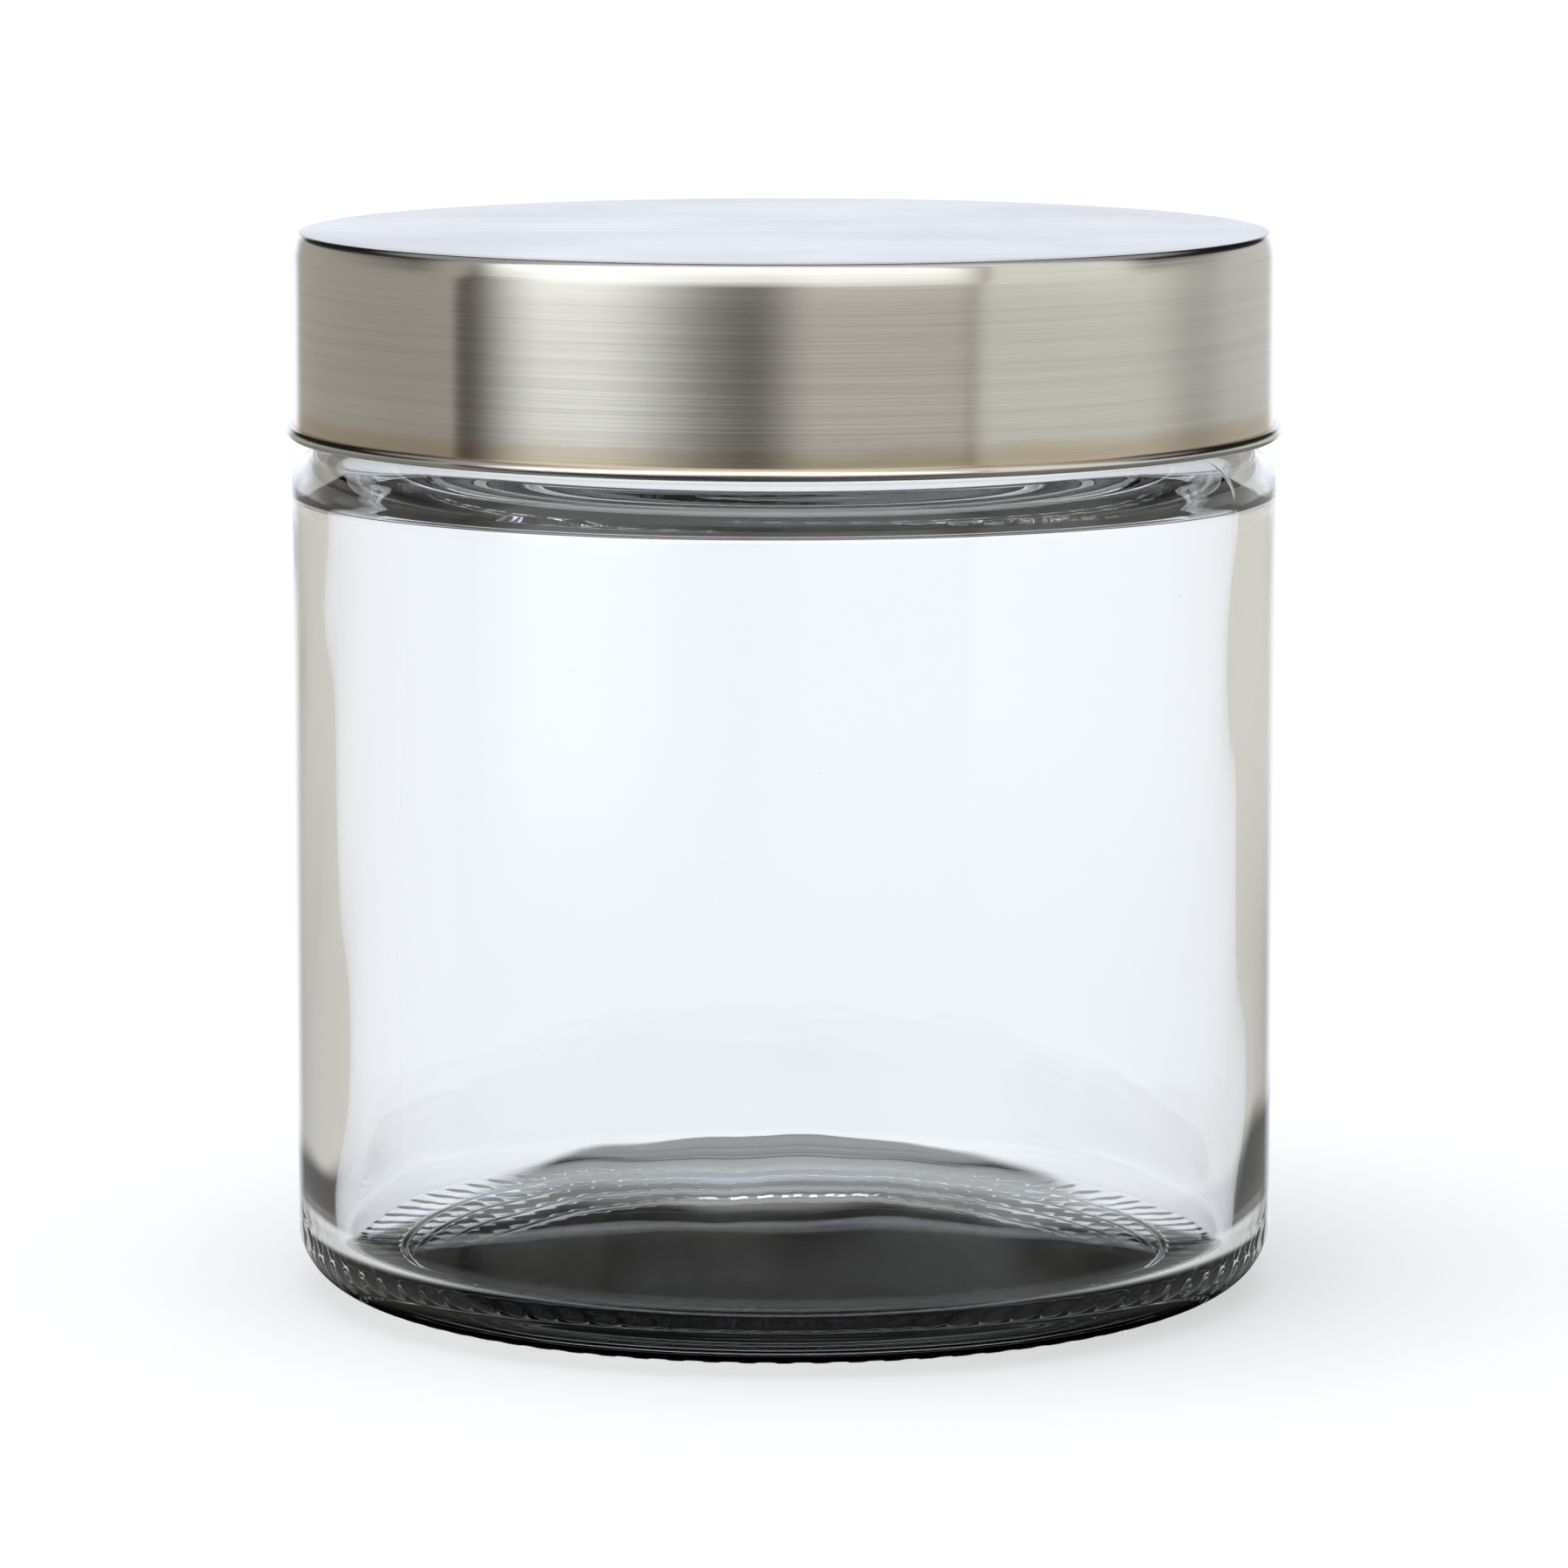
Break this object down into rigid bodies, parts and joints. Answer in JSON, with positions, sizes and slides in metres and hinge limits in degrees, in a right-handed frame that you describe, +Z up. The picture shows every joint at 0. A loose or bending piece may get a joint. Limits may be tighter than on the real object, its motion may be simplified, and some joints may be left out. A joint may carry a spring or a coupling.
{
  "type": "empty candle jar",
  "caption": "Straight-sided clear glass jar with a rounded heel and shoulder, closed by a brushed steel screw lid with a rolled bottom bead.",
  "frame": {"origin": "centre of the foot ring, on the surface that the jar stands on", "axes": "+Z up along the jar's axis and the lid's thread axis; +X to the right and +Y away from the viewer, the jar being round"},
  "size_m": [0.0992, 0.0992, 0.1053],
  "materials": {
    "clear_glass": "clear, polished, faint waviness",
    "brushed_steel": "brushed round the lid",
    "grey_plastic": "satin moulded",
    "soft_seal": "soft matte"
  },
  "bodies": {
    "jar": {"glass_jar": "clear_glass"},
    "seal": {"seal_disc": "soft_seal"},
    "lid": {"lid_shell": "brushed_steel", "threaded_insert": "grey_plastic"}
  },
  "joints": [
    {"name": "lid_rise", "type": "slide", "parent": "jar", "child": "seal", "axis": [0, 0, 1], "range_m": [0, 0.03]},
    {"name": "lid_turn", "type": "hinge", "parent": "seal", "child": "lid", "pos_m": [0, 0, 0.09], "axis": [0, 0, 1], "range_deg": [0, 540]}
  ],
  "couplings": [
    {"joint": "lid_rise", "follows": "lid_turn", "m_per_rad": 0.003183}
  ]
}
